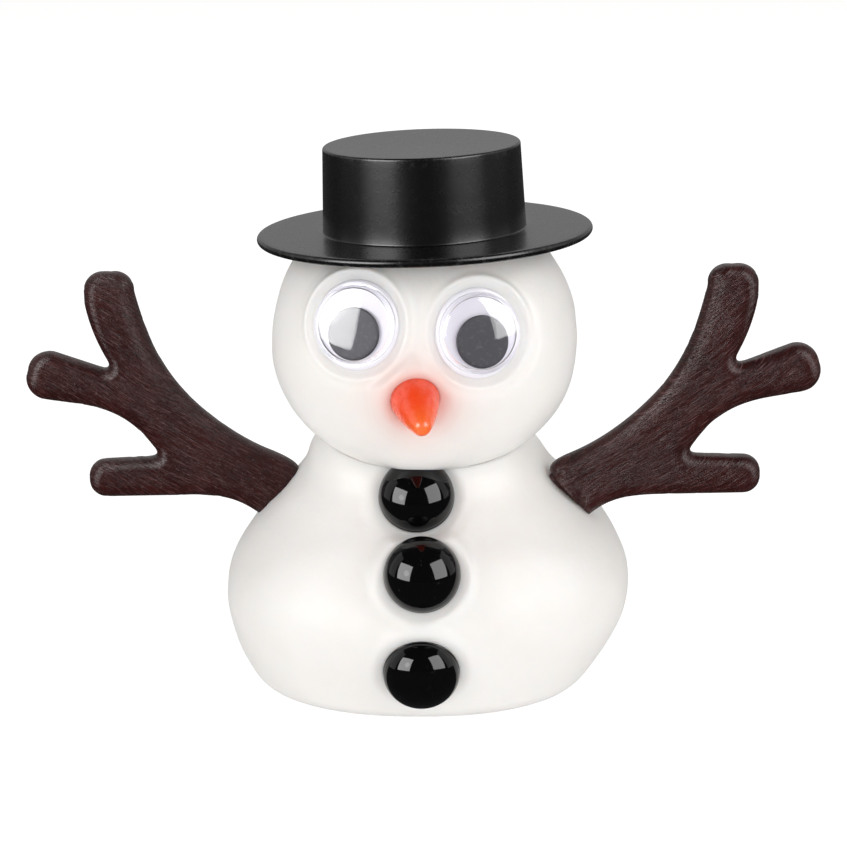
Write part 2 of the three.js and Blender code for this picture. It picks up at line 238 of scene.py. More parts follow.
def lattice_noise(u, v, seed):
    """Smooth noise from -1 to 1 on a unit lattice, the same on each run."""
    cells = 64
    table = np.random.default_rng(seed).uniform(-1, 1, (cells, cells))
    iu, iv = np.floor(u).astype(int), np.floor(v).astype(int)
    fu, fv = u - iu, v - iv
    fu, fv = fu * fu * (3 - 2 * fu), fv * fv * (3 - 2 * fv)

    def pick(a, b):
        return table[a % cells, b % cells]

    low = pick(iu, iv) * (1 - fu) + pick(iu + 1, iv) * fu
    high = pick(iu, iv + 1) * (1 - fu) + pick(iu + 1, iv + 1) * fu
    return low * (1 - fv) + high * fv


def hand_marks(points, seed, wavelength):
    """Slow unevenness of a hand-shaped surface, from -1 to 1: a sum of plane waves in several directions."""
    random = np.random.default_rng(seed)
    total = np.zeros(points.shape[:-1])
    waves = 9
    for _ in range(waves):
        direction = random.normal(size=3)
        direction /= np.linalg.norm(direction)
        turns = 2 * math.pi / (wavelength * random.uniform(0.7, 1.6))
        total += np.sin(points @ direction * turns + random.uniform(0, 2 * math.pi))
    return total / math.sqrt(waves) / 1.5


# ---------------------------------------------------------------- mesh helpers
def mesh_object(name, points, faces, material):
    mesh = bpy.data.meshes.new(name)
    mesh.from_pydata((np.asarray(points, float) * MM).tolist(), [], faces)
    mesh.validate()
    mesh.update()
    mesh.polygons.foreach_set("use_smooth", [True] * len(mesh.polygons))
    mesh.materials.append(material)
    piece = bpy.data.objects.new(name, mesh)
    bpy.context.scene.collection.objects.link(piece)
    return piece


def point_value(piece, name, values):
    """A number at each vertex, which a material can read by its name."""
    attribute = piece.data.attributes.new(name, "FLOAT", "POINT")
    attribute.data.foreach_set("value", np.asarray(values, np.float32).ravel())


def closed_grid(rows, columns):
    """Faces of a closed form: a first pole, rings of points, and a last pole."""
    faces = []
    last = 1 + rows * columns

    def ring(r, c):
        return 1 + r * columns + c % columns

    for c in range(columns):
        faces.append((0, ring(0, c + 1), ring(0, c)))
        faces.append((last, ring(rows - 1, c), ring(rows - 1, c + 1)))
    for r in range(rows - 1):
        for c in range(columns):
            faces.append((ring(r, c), ring(r, c + 1), ring(r + 1, c + 1), ring(r + 1, c)))
    return faces


def turned(profile, columns):
    """A profile of (radius, height) from the axis to the axis, turned about Z: its points and faces."""
    profile = np.array(profile, float)
    rings = profile[1:-1]
    angles = np.linspace(0, 2 * math.pi, columns, endpoint=False)
    x = rings[:, :1] * np.cos(angles)
    y = rings[:, :1] * np.sin(angles)
    z = np.repeat(rings[:, 1:], columns, axis=1)
    body = np.stack([x, y, z], -1).reshape(-1, 3)
    first, last = (0, 0, profile[0, 1]), (0, 0, profile[-1, 1])
    return np.vstack([first, body, last]), closed_grid(len(rings), columns)


def stands_for(piece, node, body=ROOT_BODY):
    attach(piece, body)
    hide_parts(node)
    return piece


# ---------------------------------------------------------------- material helpers
class Nodes:
    """A short way to write a node tree."""

    def __init__(self, name):
        self.material = bpy.data.materials.new(name)
        self.material.use_nodes = True
        self.tree = self.material.node_tree
        self.tree.nodes.clear()
        self.output = self.add("ShaderNodeOutputMaterial")
        self.place = self.add("ShaderNodeTexCoord").outputs["Object"]

    def add(self, kind):
        return self.tree.nodes.new(kind)

    def feed(self, socket, value):
        if isinstance(value, bpy.types.NodeSocket):
            self.tree.links.new(value, socket)
        else:
            socket.default_value = value

    def shader(self, **values):
        node = self.add("ShaderNodeBsdfPrincipled")
        for key, value in values.items():
            self.feed(node.inputs[key.replace("_", " ")], value)
        self.feed(self.output.inputs["Surface"], node.outputs["BSDF"])
        return node

    def noise(self, scale, detail=2.0, vector=None, roughness=0.5):
        node = self.add("ShaderNodeTexNoise")
        node.inputs["Scale"].default_value = scale
        node.inputs["Detail"].default_value = detail
        node.inputs["Roughness"].default_value = roughness
        self.feed(node.inputs["Vector"], vector or self.place)
        return node.outputs["Fac"]

    def ramp(self, value, low, high, to_low=0.0, to_high=1.0):
        node = self.add("ShaderNodeMapRange")
        node.clamp = True
        limits = {"From Min": low, "From Max": high, "To Min": to_low, "To Max": to_high}
        for key, number in limits.items():
            node.inputs[key].default_value = number
        self.feed(node.inputs["Value"], value)
        return node.outputs["Result"]

    def blend(self, share, a, b):
        node = self.add("ShaderNodeMix")
        node.data_type = "RGBA"
        self.feed(node.inputs[0], share)
        self.feed(node.inputs[6], a)
        self.feed(node.inputs[7], b)
        return node.outputs[2]

    def maths(self, operation, a, b):
        node = self.add("ShaderNodeMath")
        node.operation = operation
        self.feed(node.inputs[0], a)
        self.feed(node.inputs[1], b)
        return node.outputs[0]

    def value_of(self, name):
        node = self.add("ShaderNodeAttribute")
        node.attribute_name = name
        return node.outputs["Fac"]

    def bump(self, height, strength, distance, after=None):
        node = self.add("ShaderNodeBump")
        node.inputs["Strength"].default_value = strength
        node.inputs["Distance"].default_value = distance
        self.feed(node.inputs["Height"], height)
        if after is not None:
            self.feed(node.inputs["Normal"], after)
        return node.outputs["Normal"]


    def mottled(self, scale, detail, dark, light):
        """A colour that drifts slowly between two near ones."""
        return self.blend(self.ramp(self.noise(scale, detail), 0.35, 0.7), dark, light)


def rgb(r, g, b):
    return (r, g, b, 1.0)


# ---------------------------------------------------------------- materials
def putty_material():
    n = Nodes("putty")
    base = n.mottled(90, 3, rgb(0.845, 0.822, 0.795), rgb(0.875, 0.86, 0.84))
    # Painted light: the nose's red-orange light on the putty round it is painted into the putty's colour by
    # each point's glow value.
    painted_nose_light = rgb(0.9, 0.19, 0.1)
    base_with_painted_glow = n.blend(n.value_of("glow"), base, painted_nose_light)
    rough = n.ramp(n.noise(700, 3), 0.3, 0.7, 0.42, 0.52)
    skin = n.bump(n.noise(1500, 3), 0.12, 0.0002)
    marks = n.bump(n.noise(260, 2), 0.12, 0.0006, skin)
    n.shader(
        Base_Color=base_with_painted_glow, Roughness=rough, Normal=marks, IOR=1.33,
        Subsurface_Weight=0.5, Subsurface_Radius=(1.0, 0.8, 0.66), Subsurface_Scale=0.003,
    )
    return n.material


def hat_material():
    n = Nodes("hat_plastic")
    black = n.mottled(160, 4, rgb(0.0012, 0.0012, 0.0013), rgb(0.002, 0.002, 0.002))
    scuff = rgb(0.09, 0.088, 0.086)
    scuff_strength = 0.2
    worn = n.maths("MULTIPLY", n.value_of("edge"), n.ramp(n.noise(900, 5), 0.52, 0.66))
    base = n.blend(n.maths("MULTIPLY", worn, scuff_strength), black, scuff)
    rough = n.ramp(n.noise(900, 3), 0.3, 0.75, 0.26, 0.28)
    fine = n.bump(n.noise(3600, 2), 0.15, 0.00006)
    uneven = n.bump(n.noise(120, 2), 0.03, 0.0008, fine)
    n.shader(Base_Color=base, Roughness=rough, Normal=uneven, IOR=1.43)
    return n.material


def button_material():
    n = Nodes("button_plastic")
    black, dust = rgb(0.0022, 0.0022, 0.0025), rgb(0.012, 0.012, 0.013)
    base = n.blend(n.ramp(n.noise(2400, 2), 0.68, 0.76), black, dust)
    smear = n.ramp(n.noise(330, 3), 0.45, 0.75, 0.035, 0.085)
    ripple = n.bump(n.noise(190, 1), 0.05, 0.0006)
    n.shader(Base_Color=base, Roughness=smear, Normal=ripple, IOR=1.34)
    return n.material


def nose_material():
    n = Nodes("nose_plastic")
    along = n.value_of("along")
    # The colour runs along the nose from coral at the root to deep orange in the middle and lighter orange
    # at the tip: the plastic's own colour, with painted shade in the deeper middle and a painted sheen at
    # the lighter tip.
    root, middle, tip = rgb(0.94, 0.09, 0.045), rgb(0.93, 0.08, 0.012), rgb(1.0, 0.17, 0.035)
    pale = rgb(1.0, 0.3, 0.16)
    root_to_middle = n.blend(n.ramp(along, 0.0, 0.45), root, middle)
    tinted = n.blend(n.ramp(along, 0.55, 1.0), root_to_middle, tip)
    cloudy = n.blend(n.ramp(n.noise(420, 3), 0.45, 0.75, 0.0, 0.25), tinted, pale)
    rough = n.ramp(n.noise(800, 3), 0.35, 0.7, 0.2, 0.34)
    skin = n.bump(n.noise(700, 2), 0.14, 0.0003)
    n.shader(
        Base_Color=cloudy, Roughness=rough, Normal=skin, IOR=1.4,
        Subsurface_Weight=0.75, Subsurface_Radius=(1.0, 0.35, 0.12), Subsurface_Scale=0.0025,
        Coat_Weight=0.25, Coat_Roughness=0.12,
    )
    return n.material


def arm_material():
    n = Nodes("arm_plastic")
    # Painted shade for the grain's grooves, painted highlights for the lines along it, and pink specks.
    groove_shade, pink_grain_highlight, pink_speck = rgb(0.01, 0.004, 0.004), rgb(0.2, 0.1, 0.1), rgb(0.2, 0.12, 0.12)
    lines_per_mm = {"along": 0.26, "across": 7.0}
    grain = n.add("ShaderNodeCombineXYZ")
    for socket, way in (("X", "along"), ("Y", "across")):
        n.feed(grain.inputs[socket], n.maths("MULTIPLY", n.value_of(way), lines_per_mm[way]))
    lines = n.noise(1.0, 3, grain.outputs[0], 0.65)
    # Painted highlights: thin pale pink lines along the grain, standing for the light that its ridges catch.
    grain_highlights = n.ramp(n.noise(1.25, 2, grain.outputs[0]), 0.6, 0.64, 0.0, 0.42)
    specks = n.ramp(n.noise(2300, 2), 0.66, 0.74, 0.0, 0.3)
    base = n.mottled(130, 4, rgb(0.028, 0.0052, 0.0046), rgb(0.042, 0.0086, 0.0074))
    # Painted shade: the twig is darkened where the bump's grooves lie, at the low places of lines.
    base = n.blend(n.ramp(lines, 0.5, 0.4, 0.0, 0.75), base, groove_shade)
    base = n.blend(grain_highlights, base, pink_grain_highlight)
    base = n.blend(specks, base, pink_speck)
    rough = n.ramp(n.noise(900, 3), 0.3, 0.7, 0.2, 0.3)
    pits = n.bump(n.noise(2600, 3), 0.2, 0.0001)
    ridges = n.bump(lines, 0.6, 0.00022, pits)
    n.shader(Base_Color=base, Roughness=rough, Normal=ridges, IOR=1.33)
    return n.material


def eye_white_material():
    n = Nodes("eye_white")
    base = n.mottled(240, 2, rgb(0.85, 0.835, 0.91), rgb(0.87, 0.86, 0.925))
    soft = n.bump(n.noise(500, 2), 0.05, 0.0002)
    n.shader(
        Base_Color=base, Roughness=0.24, Normal=soft, IOR=1.5,
        Subsurface_Weight=0.2, Subsurface_Radius=(0.8, 0.8, 1.0), Subsurface_Scale=0.001,
    )
    return n.material


def pupil_material():
    n = Nodes("pupil_black")
    black, dust = rgb(0.04, 0.04, 0.048), rgb(0.075, 0.075, 0.085)
    base = n.blend(n.ramp(n.noise(1900, 3), 0.55, 0.75), black, dust)
    skin = n.bump(n.noise(1200, 2), 0.1, 0.0001)
    n.shader(Base_Color=base, Roughness=0.46, Normal=skin, IOR=1.4)
    return n.material


def eye_clear_material():
    """Clear plastic whose thin wall shows what is behind it and mirrors at a glance."""
    n = Nodes("eye_clear")
    ripple = n.bump(n.noise(160, 1), 0.04, 0.0005)
    clear = n.add("ShaderNodeBsdfTransparent")
    clear.inputs["Color"].default_value = rgb(0.995, 0.99, 1.0)
    mirror = n.add("ShaderNodeBsdfGlossy")
    mirror.inputs["Color"].default_value = rgb(1, 1, 1)
    mirror.inputs["Roughness"].default_value = 0.03
    n.feed(mirror.inputs["Normal"], ripple)
    glance = n.add("ShaderNodeFresnel")
    glance.inputs["IOR"].default_value = 1.37
    n.feed(glance.inputs["Normal"], ripple)
    mix = n.add("ShaderNodeMixShader")
    n.feed(mix.inputs[0], glance.outputs[0])
    n.feed(mix.inputs[1], clear.outputs[0])
    n.feed(mix.inputs[2], mirror.outputs[0])
    n.feed(n.output.inputs["Surface"], mix.outputs[0])
    return n.material


def floor_material():
    """A pale floor that is white to the eye, and dimmer in the light and reflections that it throws back."""
    n = Nodes("studio_floor")
    glow = {"Is Camera Ray": 0.78, "Is Diffuse Ray": 0.64}
    mirrored_glow = 0.06
    white = n.add("ShaderNodeBsdfDiffuse")
    white.inputs["Color"].default_value = rgb(0.42, 0.42, 0.42)
    path = n.add("ShaderNodeLightPath")
    shares = [n.maths("MULTIPLY", path.outputs[ray], strength) for ray, strength in glow.items()]
    lit = n.add("ShaderNodeEmission")
    lit.inputs["Color"].default_value = rgb(1, 1, 1)
    n.feed(lit.inputs["Strength"], n.maths("ADD", *shares))
    both = n.add("ShaderNodeAddShader")
    n.feed(both.inputs[0], white.outputs[0])
    n.feed(both.inputs[1], lit.outputs[0])
    dark = n.add("ShaderNodeEmission")
    dark.inputs["Color"].default_value = rgb(1, 1, 1)
    dark.inputs["Strength"].default_value = mirrored_glow
    mix = n.add("ShaderNodeMixShader")
    n.feed(mix.inputs[0], path.outputs["Is Glossy Ray"])
    n.feed(mix.inputs[1], both.outputs[0])
    n.feed(mix.inputs[2], dark.outputs[0])
    n.feed(n.output.inputs["Surface"], mix.outputs[0])
    return n.material


# ---------------------------------------------------------------- putty lumps
def around_angles():
    """Angles about Z, closer together at the front, which is -Y."""
    even = np.linspace(-math.pi, math.pi, LUMP_COLUMNS, endpoint=False)
    return even - CLOSER_IN_FRONT * np.sin(even) - math.pi / 2


def squared_ring(angle, front_power, back_power):
    power = np.where(np.sin(angle) < 0, 2 / front_power, 2 / back_power)
    across = np.sign(np.cos(angle)) * np.abs(np.cos(angle)) ** power
    along = np.sign(np.sin(angle)) * np.abs(np.sin(angle)) ** power
    return across, along


def lump_points(profile, front_power, back_power):
    """Rings of points for a profile of (radius, height), as an array of rings, columns and coordinates."""
    across, along = squared_ring(around_angles(), front_power, back_power)
    profile = np.array(profile, float)
    x = profile[:, :1] * across
    y = profile[:, :1] * along
    z = np.repeat(profile[:, 1:], LUMP_COLUMNS, axis=1)
    return np.stack([x, y, z], -1)


def grid_normals(points):
    around = np.roll(points, -1, axis=1) - np.roll(points, 1, axis=1)
    up = np.gradient(points, axis=0)
    normal = np.cross(around, up)
    length = np.linalg.norm(normal, axis=-1, keepdims=True)
    return normal / np.maximum(length, 1e-9)


def press_in(points, piece, edge, lip, root, reach, dive=0.5):
    """Shapes putty round a piece pressed into it. piece gives place, turn and oval; edge is its radius, lip
    the height of the putty at its edge, root how deep it goes, reach how far out the putty is moved, as a
    share of edge, and dive how wide the step down at the edge is."""
    floor = -root - SEAT_GAP
    local = (points - np.array(piece["place"])) @ piece["turn"]
    oval = np.hypot(local[..., 0] / piece["oval"][0], local[..., 1] / piece["oval"][1])
    radius = oval * edge
    height = local[..., 2]
    in_front = smoothstep(-10, -7, height)
    target = lip + (floor - lip) * smoothstep(edge - 0.2, edge - 0.2 - dive, radius)
    share = (1 - smoothstep(edge + 0.25, edge * reach, radius)) * in_front
    return points + ((target - height) * share)[..., None] * piece["turn"][:, 2]


def add_ring(points, piece, ring, width, height, towards=None, spread=1.0):
    """A soft raised ring of putty round a piece, higher on the side at the angle towards, in degrees."""
    local = (points - np.array(piece["place"])) @ piece["turn"]
    radius = np.hypot(local[..., 0] / piece["oval"][0], local[..., 1] / piece["oval"][1])
    raised = height * np.exp(-(((radius - ring) / width) ** 2)) * smoothstep(-8, -5, local[..., 2])
    if towards is not None:
        angle = np.arctan2(local[..., 1], local[..., 0]) - math.radians(towards)
        raised = raised * (0.5 + 0.5 * np.cos(angle)) ** spread
    return points + raised[..., None] * piece["turn"][:, 2]


def button_seat(name):
    button = BUTTONS[name]
    turn = facing(0, button["pitch"])
    return {"place": button["place"], "turn": turn, "oval": (BUTTON["radius"], BUTTON["radius"])}


def eye_seat(side):
    eye = EYES[side]
    turn = facing(eye["yaw"], eye["pitch"])
    return {"place": eye["place"], "turn": turn, "oval": (EYE["across"], EYE["up"])}


def nose_place():
    rise = (NOSE["z"] - HEAD["centre"]) / HEAD["half_height"]
    depth = HEAD["forward"] + HEAD["half_depth"] * math.sqrt(1 - rise * rise)
    return (NOSE["x"], -depth, NOSE["z"])


def nose_seat():
    turn = facing(NOSE["yaw"], NOSE["pitch"])
    return {"place": nose_place(), "turn": turn, "oval": (NOSE["foot"], NOSE["foot"])}


def press_marks(points, lump, share=1.0):
    """The unevenness that hands leave in a lump of putty."""
    marks = 0
    for mark in HAND_MARKS[lump]:
        marks = marks + hand_marks(points, mark["seed"], mark["wavelength"]) * mark["height"]
    return points + grid_normals(points) * (marks * share)[..., None]


def lean(height):
    """How far the body's rings are shifted to the side at a height."""
    share = np.clip(height / BODY["top"], 0, 1)
    return -0.8 + 1.9 * np.sin(math.pi * share**1.45 / 1.1)


def jaw_at(x, y):
    """The jaw's fullness in a direction from the head's axis."""
    ahead = np.clip(-y / np.maximum(np.hypot(x, y), 1e-6), 0, 1)
    return HEAD["jaw"] + (HEAD["chin"] - HEAD["jaw"]) * ahead * ahead


def head_ring(x, y):
    """How far out points lie, as a share of the head's outline from above, and the jaw's fullness there."""
    x, y = x / HEAD["half_width"], (y + HEAD["forward"]) / HEAD["half_depth"]
    power = np.where(y < 0, HEAD["front_squareness"], HEAD["back_squareness"])
    return (np.abs(x) ** power + np.abs(y) ** power) ** (1 / power), jaw_at(x, y)


def chin_height(x, y):
    """The height of the head's underside over each point, far up outside the head."""
    ring, jaw = head_ring(x, y)
    share = np.clip(ring, 0, 1) ** (2 / jaw)
    return HEAD["centre"] - HEAD["half_height_below"] * np.sqrt(1 - share) + 60 * np.maximum(ring - 1, 0)


def chin_sag(x, y):
    """How far the chin sags over the top button."""
    across = (x - CHIN_SAG["x"]) / CHIN_SAG["half_width"]
    along = (y - CHIN_SAG["y"]) / CHIN_SAG["half_depth"]
    return CHIN_SAG["depth"] * np.exp(-across * across - along * along)


def neck_collar(points):
    """The body's putty drawn up onto the head at the sides and the back."""
    x, y, z = points[..., 0], points[..., 1], points[..., 2]
    ring, jaw = head_ring(x, y)
    low = np.clip((z - HEAD["centre"]) / HEAD["half_height_below"], -1, 0)
    beside = np.maximum(ring - (1 - low * low) ** (jaw / 2), 1e-3) * HEAD["half_width"]
    under = np.maximum(chin_height(x, y) - z, 1e-3)
    away = beside * under / np.hypot(beside, under)
    sideways = smoothstep(*COLLAR["front"], y / np.hypot(x, y).clip(1e-6))
    round_side = COLLAR["front_share"] + (1 - COLLAR["front_share"]) * sideways
    near = np.clip(1 - away / COLLAR["reach"], 0, 1) ** 2
    drawn = COLLAR["height"] * near * round_side * smoothstep(*COLLAR["fades_in"], z)
    return points + grid_normals(points) * drawn[..., None]


def lump_object(name, points, material):
    rows, columns = points.shape[0] - 2, points.shape[1]
    flat = np.vstack([points[0].mean(0), points[1:-1].reshape(-1, 3), points[-1].mean(0)])
    return mesh_object(name, flat, closed_grid(rows, columns), material), flat


def body_piece(material):
    underside = [(r, 0) for r in np.linspace(0, BODY["foot_radius"], 7)]
    edge = bezier(BODY["foot_edge"], 8)
    side = spline(BODY_OUTLINE, 190, BODY["outline_start"])
    top = [(r, BODY["top"]) for r in np.linspace(BODY["top_radius"], 0, 16)]
    profile = np.vstack([underside, edge, side, top])
    points = lump_points(profile, BODY["squareness"], BODY["squareness"])
    points[..., 1] *= BODY["depth"]
    points[..., 0] += lean(points[..., 2])
    points[..., 2] *= 1 + BODY["slope"] * points[..., 1]
    points = press_marks(points, "body", smoothstep(0.3, 5, points[..., 2]))
    for row, seat in BUTTON_SEATS.items():
        lip, reach = seat["lip"], seat["reach"]
        points = press_in(points, button_seat(row), BUTTON["radius"], lip, BUTTON["root"], reach)
    for row, ring in BUTTON_RINGS.items():
        points = add_ring(points, button_seat(row), **ring)
    points = neck_collar(points)
    under_chin = chin_height(points[..., 0], points[..., 1]) + CHIN_GAP
    points[..., 2] = soft_min(points[..., 2], under_chin, 0.6)
    points[..., 2] = np.maximum(points[..., 2], 0)
    piece, flat = lump_object("putty_body", points, material)
    point_value(piece, "glow", np.zeros(len(flat)))
    return stands_for(piece, "body")


def under_brim(points):
    """The putty pressed flat against the brim, and standing up inside the crown."""
    turn = hat_turn()
    base = np.array([0, 0, HAT["height"]])
    local = (points - base) @ turn
    radius = np.hypot(local[..., 0], local[..., 1])
    inside = HAT["crown_foot_radius"] - HAT["wall"] - 0.3
    pressed = soft_min(local[..., 2], np.full(radius.shape, -BRIM_GAP), 1.6)
    local[..., 2] = np.where(radius > inside, pressed, local[..., 2])
    return local @ turn.T + base


def painted_glow_share(flat):
    """How much of the nose's colour is painted into the putty round it: painted light standing in for the
    nose's glow.
    """
    away = np.linalg.norm(flat - np.array(nose_place()), axis=1) - NOSE["foot"]
    return NOSE_PAINTED_GLOW["strength"] * np.exp(-np.maximum(away, 0) / NOSE_PAINTED_GLOW["reach"])


def head_piece(material):
    angles = np.radians(np.linspace(-90, 90, HEAD_RINGS))
    profile = np.stack([np.maximum(np.cos(angles), 0), np.sin(angles)], 1)
    points = lump_points(profile, HEAD["front_squareness"], HEAD["back_squareness"])
    x, y, z = points[..., 0], points[..., 1], points[..., 2]
    fuller = np.where(z < 0, np.sqrt(np.maximum(1 - z * z, 1e-6)) ** (jaw_at(x, y) - 1), 1)
    tall = np.where(z < 0, HEAD["half_height_below"], HEAD["half_height"])
    points = np.stack([x * fuller * HEAD["half_width"], y * fuller * HEAD["half_depth"], z * tall], -1)
    below = smoothstep(0.05, -0.35, z)
    points = points + np.array([0, -HEAD["forward"], HEAD["centre"]])
    points[..., 2] -= chin_sag(points[..., 0], points[..., 1]) * below
    points = press_marks(points, "head")
    points = press_in(points, nose_seat(), NOSE["foot"], 0.15, NOSE["root"], 2.0, 0.7)
    points = add_ring(points, nose_seat(), **NOSE_RING)
    for side in EYES:
        points = press_in(points, eye_seat(side), EYE["up"], -EYE["sunk"], EYE["thickness"], 1.55)
        points = add_ring(points, eye_seat(side), **EYE_RING)
    for side, fold in EYE_FOLDS.items():
        points = add_ring(points, eye_seat(side), **fold)
    points = under_brim(points)
    piece, flat = lump_object("putty_head", points, material)
    # Painted light: each point's share of the nose's colour, painted into the putty round the nose.
    point_value(piece, "glow", painted_glow_share(flat))
    return stands_for(piece, "head")


# ---------------------------------------------------------------- turned plastic pieces
def turned_piece(name, profile, columns, turn, place, material, scale=(1, 1, 1)):
    points, faces = turned(profile, columns)
    own = points * np.array(scale)
    return mesh_object(name, own @ turn.T + np.array(place), faces, material), points


def hat_inside():
    """The hollow of the crown and the mouth under it, from the axis outwards."""
    foot, crown, wall = HAT["crown_foot_radius"], HAT["crown_top_radius"], HAT["wall"]
    ceiling = HAT["brim_thickness"] + HAT["crown_height"] - wall
    fillet, mouth = HAT["inner_fillet"], HAT["mouth_fillet"]
    inner = crown - wall
    turns_down, side = (inner - fillet, ceiling), (inner, ceiling - fillet)
    points = [(0, ceiling), (inner * 0.5, ceiling), turns_down]
    points += bezier([turns_down, (inner, ceiling), side], 5)
    points += on_line(side, (foot - wall, 0), (0.3, 0.6, 0.9))
    points += bezier([(foot - wall - 0.02, mouth), (foot - wall, 0), (foot - wall + mouth, 0)], 4)
    return points


def hat_brim():
    """The underside of the brim, its edge and its top, as far as the crown."""
    foot, high = HAT["crown_foot_radius"], HAT["brim_thickness"]
    half = high / 2
    edge = HAT["brim_radius"] - half
    points = on_line((foot, 0), (edge, 0), (0.3, 0.6, 0.9))
    points += arc(edge, half, half, -90, 90, 13)
    points += on_line((edge, high), (foot + 0.35, high), (0.1, 0.3, 0.5, 0.7, 0.9))
    return points


def hat_crown():
    """The fillet at the crown's foot, its side, its rounded edge and its slightly sunken top."""
    foot, crown, brim_top = HAT["crown_foot_radius"], HAT["crown_top_radius"], HAT["brim_thickness"]
    top = brim_top + HAT["crown_height"]
    fillet, round_edge, dip = HAT["foot_fillet"], HAT["edge_round"], HAT["crown_dip"]
    low, high = (foot, brim_top + fillet), (crown, top - round_edge)
    points = bezier([(foot + fillet, brim_top), (foot + 0.02, brim_top), low], 7)
    points += on_line(low, high, np.linspace(0.08, 1, 12))
    points += arc(crown - round_edge, top - round_edge, round_edge, 8, 90, 8)
    centre = (0, top - dip)
    points += on_line(centre, (crown - round_edge, top), (0.98, 0.93, 0.8, 0.6, 0.4, 0.2))
    return points + [centre]


def hat_piece(material):
    profile = hat_inside() + hat_brim() + hat_crown()
    piece, own = turned_piece("hat_moulding", profile, 224, hat_turn(), (0, 0, HAT["height"]), material)
    radius = np.hypot(own[:, 0], own[:, 1])
    brim, crown = HAT["brim_radius"], HAT["crown_top_radius"]
    top = HAT["brim_thickness"] + HAT["crown_height"]
    brim_edge = smoothstep(brim - 2.2, brim - 0.2, radius)
    crown_edge = smoothstep(crown - 2.0, crown - 0.4, radius) * smoothstep(top - 0.8, top - 0.2, own[:, 2])
    point_value(piece, "edge", np.maximum(brim_edge, crown_edge))
    return stands_for(piece, "hat")


def button_profile():
    radius, rise, rim, root = (BUTTON[k] for k in ("radius", "rise", "rim", "root"))
    profile = [(0, -root), (radius * 0.6, -root), (radius - 0.7, -root), (radius - 0.12, -root + 0.4)]
    profile += [(radius - 0.06, -0.6), (radius - 0.04, -0.1)]
    profile += arc(radius - 0.1, rim - 0.18, 0.1, -60, 70, 5)
    for angle in np.radians(np.linspace(4, 90, 30)):
        profile.append((radius * 0.995 * math.cos(angle), rim + (rise - rim) * math.sin(angle)))
    profile[-1] = (0, rise)
    return profile


def button_piece(row, material):
    button = BUTTONS[row]
    turn = facing(0, button["pitch"])
    piece, _ = turned_piece(f"button_{row}_dome", button_profile(), 96, turn, button["place"], material)
    return stands_for(piece, f"button_{row}")


def nose_piece(material):
    foot, tip, length, root = (NOSE[k] for k in ("foot", "tip", "length", "root"))
    profile = [(0, -root), (foot * 0.6, -root), (foot - 0.5, -root), (foot - 0.1, -root + 0.4)]
    slope = math.degrees(math.atan2(foot - tip, length))
    start = np.array([foot, -0.2])
    end = np.array(arc(0, length - tip, tip, slope, slope, 1)[0])
    belly = (start + end) / 2 + np.array(NOSE["belly"])
    profile += [start] + bezier([start, belly, end], 26)
    profile += arc(0, length - tip, tip, slope + 6, 90, 12)
    profile[-1] = (0, length)
    turn = facing(NOSE["yaw"], NOSE["pitch"])
    piece, own = turned_piece("nose_carrot", profile, 112, turn, nose_place(), material)
    point_value(piece, "along", np.clip(own[:, 2] / length, 0, 1))
    return stands_for(piece, "nose")


def eye_turn(side):
    return facing(EYES[side]["yaw"], EYES[side]["pitch"])


def eye_backing_piece(side, material):
    up, thick, dome, rim = EYE["up"], EYE["thickness"], EYE["dome_radius"], EYE["rim_round"]
    profile = [(0, -thick), (up * 0.5, -thick), (up - 0.5, -thick), (up - 0.2, -thick + 0.15)]
    profile += [(up - 0.02, -thick + 0.45)]
    profile += arc(up - rim, -rim, rim, 0, 90, 9)
    profile += [(up - rim - 0.25, 0), (dome - 0.1, -0.06), (dome - 0.5, -0.04), (dome * 0.6, -0.02), (0, 0)]
    oval = (EYE["across"] / up, 1, 1)
    name, place = f"eye_{side}_backing", EYES[side]["place"]
    piece, _ = turned_piece(name, profile, 128, eye_turn(side), place, material, oval)
    return stands_for(piece, f"eye_backing_{side}")


def eye_dome_piece(side, material):
    radius, wall, height, gap = (EYE[k] for k in ("dome_radius", "dome_wall", "dome_side", "gap"))
    inside = radius - wall
    front = height + EYE["dome_rise"]
    in_top, in_corner = (0, front - wall), (inside - 0.35, height)
    out_side, out_corner = (radius, height - 0.45), (radius - 0.45, height + 0.3)
    profile = [in_top]
    profile += bezier([in_top, (inside * 0.7, front - wall), in_corner], 10)
    profile += bezier([in_corner, (inside, height - 0.2), (inside, height - 0.6)], 4)
    profile += [(inside, 0.6), (inside, gap), (radius, gap), (radius, 0.6), out_side]
    profile += bezier([out_side, (radius, height + 0.1), out_corner], 6)
    profile += bezier([out_corner, (radius * 0.6, front), (0, front)], 16)
    piece, _ = turned_piece(f"eye_{side}_dome", profile, 128, eye_turn(side), EYES[side]["place"], material)
    piece.visible_shadow = False
    return stands_for(piece, f"eye_dome_{side}")


def pupil_piece(side, material):
    radius, thick, lift = EYE["pupil_radius"], EYE["pupil_thickness"], EYE["pupil_lift"]
    half = thick / 2
    profile = [(0, lift), (radius * 0.6, lift)]
    profile += arc(radius - half, lift + half, half, -90, 90, 9)
    profile += [(radius * 0.8, lift + thick - 0.02), (radius * 0.4, lift + thick - 0.01), (0, lift + thick)]
    turn = eye_turn(side)
    place = np.array(EYES[side]["place"]) + turn @ np.array([*EYES[side]["pupil"], 0])
    piece, _ = turned_piece(f"eye_{side}_pupil", profile, 96, turn, place, material)
    return stands_for(piece, f"eye_pupil_{side}", f"pupil_{side}")


